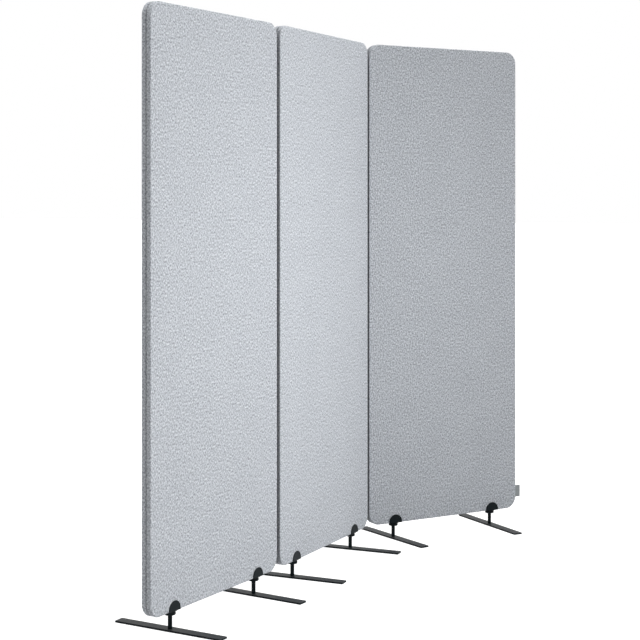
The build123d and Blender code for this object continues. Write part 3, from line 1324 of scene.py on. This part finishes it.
@dataclass(frozen=True)
class Zip:
    """A closed zip between two panels, with its slider parked at the top."""

    finishes: Finishes
    number: int
    place: Place
    half_gap: float = 8.0 * MM
    low: float = 99.4 * MM
    high: float = 1626.4 * MM
    tape_thickness: float = 0.6 * MM
    tape_inner: float = 1.5 * MM
    tape_cell: float = 6.0 * MM
    tape_ripple: float = 0.12 * MM
    bead_radius: float = 0.9 * MM
    bead_sides: int = 12
    chain_half_width: float = 3.0 * MM
    chain_half_depth: float = 1.2 * MM
    tooth_pitch: float = 2.6 * MM
    tooth_ease: float = 0.25 * MM
    stop_height: float = 4.0 * MM
    stop_half_depth: float = 1.8 * MM
    stop_ease: float = 0.6 * MM
    box_half_width: float = 4.5 * MM
    box_height: float = 14.0 * MM
    box_half_depth: float = 2.2 * MM
    box_ease: float = 0.9 * MM
    slider_ease: float = 0.15 * MM
    pull_ease: float = 0.18 * MM

    @property
    def body(self) -> str:
        """The CAD body of the tapes and the chain."""
        return f"zip_{self.number}"

    def build(self) -> None:
        """Makes and dresses the zip."""
        body, place, finishes = self.body, self.place, self.finishes
        middle = place.raised((self.low + self.high) / 2)
        name = f"{body}_woven_tapes"
        tapes = make_piece(self._tapes(), name, middle, finishes.tape, body, "zip_tape")
        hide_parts(f"{body}_tapes")
        panels = (self.number, self.number + 1)
        flat = 2 * self.half_gap, self.high - self.low
        plastic = finishes.plastic, body, "zip_chain"
        teeth = make_piece(self._teeth(), f"{body}_teeth", place, *plastic)
        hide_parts(f"{body}_chain")
        make_piece(self._stops(), f"{body}_stops", place, *plastic)
        for node, name, ease in (
            (f"{body}_slider", f"{body}_slider_casting", self.slider_ease),
            (f"{body}_pull", f"{body}_pull_tab", self.pull_ease),
        ):
            eased_copy(node, name, ease, finishes.casting, "zip_metal", node)

    def _tapes(self) -> BMesh:
        """Makes both tapes, each a web with a bead at its fold.

        Returns:
            The tapes about the zip's middle.
        """
        bm = bmesh.new()
        half_height = (self.high - self.low) / 2
        half_width = (self.half_gap - self.tape_inner) / 2
        cells = 3, round(2 * half_height / self.tape_cell)
        for way in (-1, 1):
            x = way * (self.tape_inner + half_width)
            add_sheet(bm, cells, (half_width, half_height), x)
        rippled(bm, self.tape_ripple, across=90, up=50, seed=self.number)
        bmesh.ops.solidify(bm, geom=bm.faces, thickness=self.tape_thickness)
        bmesh.ops.translate(bm, vec=(0, self.tape_thickness / 2, 0), verts=bm.verts)
        for way in (-1, 1):
            fold = Matrix.Translation((way * self.half_gap, 0, 0))
            add_rod(bm, fold, self.bead_radius, 2 * half_height, self.bead_sides)
        map_flat(bm, lambda v: Vector((v.co.x + v.co.y, v.co.z)))
        return bm

    def _tooth(self, bm: BMesh) -> None:
        """Makes the lowest tooth of the right-hand tape.

        Args:
            bm: The empty mesh that it starts.
        """
        half_outline = [(3.0, 0.45), (2.7, 0.62), (1.6, 0.6), (0.9, 0.38)]
        half_outline += [(0.1, 0.6), (-0.7, 0.56), (-0.95, 0.25)]
        points = half_outline + [(x, -z) for x, z in reversed(half_outline)]
        base, depth = self.low + self.box_height + self.tooth_pitch / 4, self.chain_half_depth
        face = bm.faces.new([bm.verts.new((x * MM, -depth, base + z * MM)) for x, z in points])
        back = verts_of(bmesh.ops.extrude_face_region(bm, geom=[face])["geom"])
        bmesh.ops.translate(bm, vec=(0, 2 * depth, 0), verts=back)
        rims = [e for e in bm.edges if abs(e.verts[0].co.y - e.verts[1].co.y) < HAIR]
        rounded(bm, rims, self.tooth_ease, 1)
        bmesh.ops.recalc_face_normals(bm, faces=bm.faces)

    def _teeth(self) -> BMesh:
        """Makes the two rows of locked teeth, each step doubling what is there.

        Returns:
            The teeth about the zip's foot.
        """
        bm = bmesh.new()
        self._tooth(bm)
        whole = [*bm.verts, *bm.edges, *bm.faces]
        left = verts_of(bmesh.ops.duplicate(bm, geom=whole)["geom"])
        bmesh.ops.transform(bm, matrix=HALF_TURN, verts=left)
        bmesh.ops.translate(bm, vec=(0, 0, self.tooth_pitch / 2), verts=left)
        count = int((self.high - self.stop_height - self.low - self.box_height) / self.tooth_pitch)
        made = 1
        while made < count:
            added = min(made, count - made)
            kinds = (bm.verts[:], bm.edges[:], bm.faces[:])
            rows = [part for parts in kinds for part in parts[: len(parts) // made * added]]
            copied = verts_of(bmesh.ops.duplicate(bm, geom=rows)["geom"])
            bmesh.ops.translate(bm, vec=(0, 0, made * self.tooth_pitch), verts=copied)
            made += added
        return bm

    def _stops(self) -> BMesh:
        """Makes the top stop and the end box.

        Returns:
            Both, about the zip's foot.
        """
        bm = bmesh.new()
        stop = self.chain_half_width, self.stop_half_depth
        add_block(bm, stop, self.high - self.stop_height, self.high, self.stop_ease)
        box = self.box_half_width, self.box_half_depth
        add_block(bm, box, self.low, self.low + self.box_height, self.box_ease)
        return bm


@dataclass(frozen=True)
class SideTab:
    """The bare woven tab that is folded double and held in the right panel's seam."""

    finishes: Finishes
    place: Place
    root_x: float = 292.8 * MM
    fold_x: float = 334.0 * MM
    half_gap: float = 0.45 * MM
    layer: float = 0.5 * MM
    low: float = 87.4 * MM
    height: float = 41.0 * MM
    sewn: float = 12.0 * MM
    curl: float = 0.5 * MM
    droop: float = 0.7 * MM
    droop_scale: float = 40.0
    seed: float = 3.1
    cells: tuple[int, int] = (40, 20)

    def build(self) -> None:
        """Makes and dresses the tab."""
        length = 2 * (self.fold_x - self.root_x) + math.pi * self.half_gap
        bm = bmesh.new()
        add_sheet(bm, self.cells, (length / 2, self.height / 2))
        map_flat(bm, lambda v: Vector((v.co.x, v.co.z)))
        for vertex in bm.verts:
            vertex.co = self._folded(vertex.co, length)
        middle = self.place.raised(self.low + self.height / 2)
        tab = make_piece(bm, "side_tab", middle, self.finishes.tab, "panel_3", "tag_fabric")
        thicken(tab, self.layer, 0)
        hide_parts("side_tag")

    def _folded(self, flat: Vector, length: float) -> Vector:
        """Where a point of the flat ribbon goes when it is folded.

        Args:
            flat: The point, with the fold at x 0.
            length: The ribbon's length.

        Returns:
            The point on the folded tab.
        """
        way = -1 if flat.x < 0 else 1
        along = length / 2 - abs(flat.x)
        straight = self.fold_x - self.root_x
        free = max(0.0, along - self.sewn) / straight
        bent = self.curl * math.sin(free * math.pi) * (0.6 + 0.4 * way)
        spot = Vector((flat.z * self.droop_scale, self.seed, 0))
        bent += self.droop * free**2 * noise.noise(spot)
        if along <= straight:
            return Vector((self.root_x + along, way * self.half_gap + bent, flat.z))
        angle = abs(flat.x) / self.half_gap
        x = self.fold_x + self.half_gap * math.cos(angle)
        return Vector((x, way * self.half_gap * math.sin(angle) + bent, flat.z))


# Stage


@dataclass(frozen=True)
class StudioCamera:
    """The photograph's camera."""

    place: Triple = (-4.0217, -1.9696, 1.1530)
    heading: float = math.radians(27.252)
    lens: float = 80.97
    sensor: float = 36.0
    shift: float = -0.18964

    def set_up(self) -> None:
        """Makes the camera and gives it to the scene."""
        camera = add_object("camera", bpy.data.cameras.new("camera"))
        camera.location = self.place
        camera.rotation_euler = (QUARTER, 0, self.heading - QUARTER)
        camera.data.lens = self.lens
        camera.data.sensor_width = self.sensor
        camera.data.shift_y = self.shift
        bpy.context.scene.camera = camera


@dataclass(frozen=True)
class Studio:
    """White surroundings and floor, a soft lamp in front, two broad suns and even fill."""

    fill: float = 0.061
    fill_colour: Colour = (1.0, 0.99, 0.975)
    key_place: Triple = (-0.36, -1.2, 1.04)
    key_width: float = 1.2
    key_height: float = 0.3
    key_power: float = 6.95
    side_direction: float = math.radians(57)
    side_rise: float = math.radians(20)
    side_spread: float = math.radians(50)
    side_strength: float = 1.90
    sky_spread: float = math.radians(60)
    sky_strength: float = 3.3
    floor_half: float = 60.0
    floor_white: float = 0.5
    floor_lift: float = 0.8

    def build(self) -> None:
        """Makes the world, the lights and the floor."""
        self._world()
        self._key()
        self._side()
        self._sky()
        self._floor()
        bpy.context.scene.view_settings.view_transform = "Standard"

    @staticmethod
    def _seen(g: Graph) -> Wire:
        """Tells the rays that show the background: the camera's and reflected ones.

        Args:
            g: The tree that asks.

        Returns:
            1 for those rays, and 0 for the others.
        """
        path = g.node("ShaderNodeLightPath", {}, {}).socket.node
        names = ("Is Camera Ray", "Is Glossy Ray", "Is Transmission Ray")
        camera, glossy, through = (Wire(g, path.outputs[name]) for name in names)
        return camera.larger(glossy).larger(through)

    def _world(self) -> None:
        """Surrounds the screen with white to look at and softer light to be lit by."""
        world = bpy.data.worlds.new("studio")
        bpy.context.scene.world = world
        g = Graph(world)
        seen = self._seen(g)
        colour = g.mixed(seen, self.fill_colour, (1, 1, 1))
        strength = seen + (1 - seen) * self.fill
        light = g.node("ShaderNodeBackground", {}, {"Color": colour, "Strength": strength})
        g.node("ShaderNodeOutputWorld", {}, {"Surface": light})

    @staticmethod
    def _lamp(name: str, kind: str, energy: float) -> bpy.types.Light:
        """Adds a lamp that gloss doesn't mirror, and that shines down until it is turned.

        Args:
            name: Its name.
            kind: AREA or SUN.
            energy: Its power in watts, or its strength.

        Returns:
            The lamp's data.
        """
        lamp = bpy.data.lights.new(name, kind)
        lamp.energy = energy
        add_object(name, lamp).visible_glossy = False
        return lamp

    def _key(self) -> None:
        """Stands the key light in front of the two left panels, above half their height."""
        lamp = self._lamp("key", "AREA", self.key_power)
        lamp.shape = "RECTANGLE"
        lamp.size, lamp.size_y = self.key_width, self.key_height
        key = bpy.data.objects["key"]
        key.location = self.key_place
        key.rotation_euler = (QUARTER, 0, 0)

    def _side(self) -> None:
        """Lets far light in from the right, which leaves the turned panel darker."""
        self._lamp("side", "SUN", self.side_strength).angle = self.side_spread
        level = math.cos(self.side_rise)
        x, y = level * math.sin(self.side_direction), -level * math.cos(self.side_direction)
        towards = Vector((x, y, math.sin(self.side_rise)))
        bpy.data.objects["side"].rotation_euler = towards.to_track_quat("Z", "Y").to_euler()

    def _sky(self) -> None:
        """Lets broad light down from above, which the floor sends back up."""
        self._lamp("sky", "SUN", self.sky_strength).angle = self.sky_spread

    def _floor(self) -> None:
        """Lays the floor, which shows white where the screen casts no shadow."""
        g = Graph.of("white_floor")
        plain = g.node("ShaderNodeBsdfDiffuse", {}, {"Color": (self.floor_white,) * 3})
        lift = g.node("ShaderNodeEmission", {}, {"Strength": self.floor_lift})
        lifted = g.node("ShaderNodeAddShader", {}, {0: plain, 1: lift})
        shader = g.node("ShaderNodeMixShader", {}, {0: self._seen(g), 1: plain, 2: lifted})
        g.node("ShaderNodeOutputMaterial", {}, {"Surface": shader})
        bm = bmesh.new()
        bmesh.ops.create_grid(bm, x_segments=1, y_segments=1, size=self.floor_half)
        floor = add_mesh(bm, "floor", g.owner)


def main() -> None:
    """Builds the screen, its stage, its light and its camera."""
    logging.basicConfig(level=logging.INFO, format="%(message)s")
    StudioCamera().set_up()
    Studio().build()
    finishes = Finishes()
    stance = Stance()
    left_zip, left_panel = stance.joined(1)
    right_zip, right_panel = stance.joined(2)
    panels = (
        Panel(finishes, 1, left_panel, (1,), 0.0),
        Panel(finishes, 2, stance.middle(), (-1, 1), 3.7),
        Panel(finishes, 3, right_panel, (-1,), 8.3),
    )
    for panel in panels:
        panel.build()
        for foot in panel.feet():
            foot.build()
    for number, place in ((1, left_zip), (2, right_zip)):
        Zip(finishes, number, place).build()
    SideTab(finishes, right_panel).build()


if __name__ == "__main__":
    main()
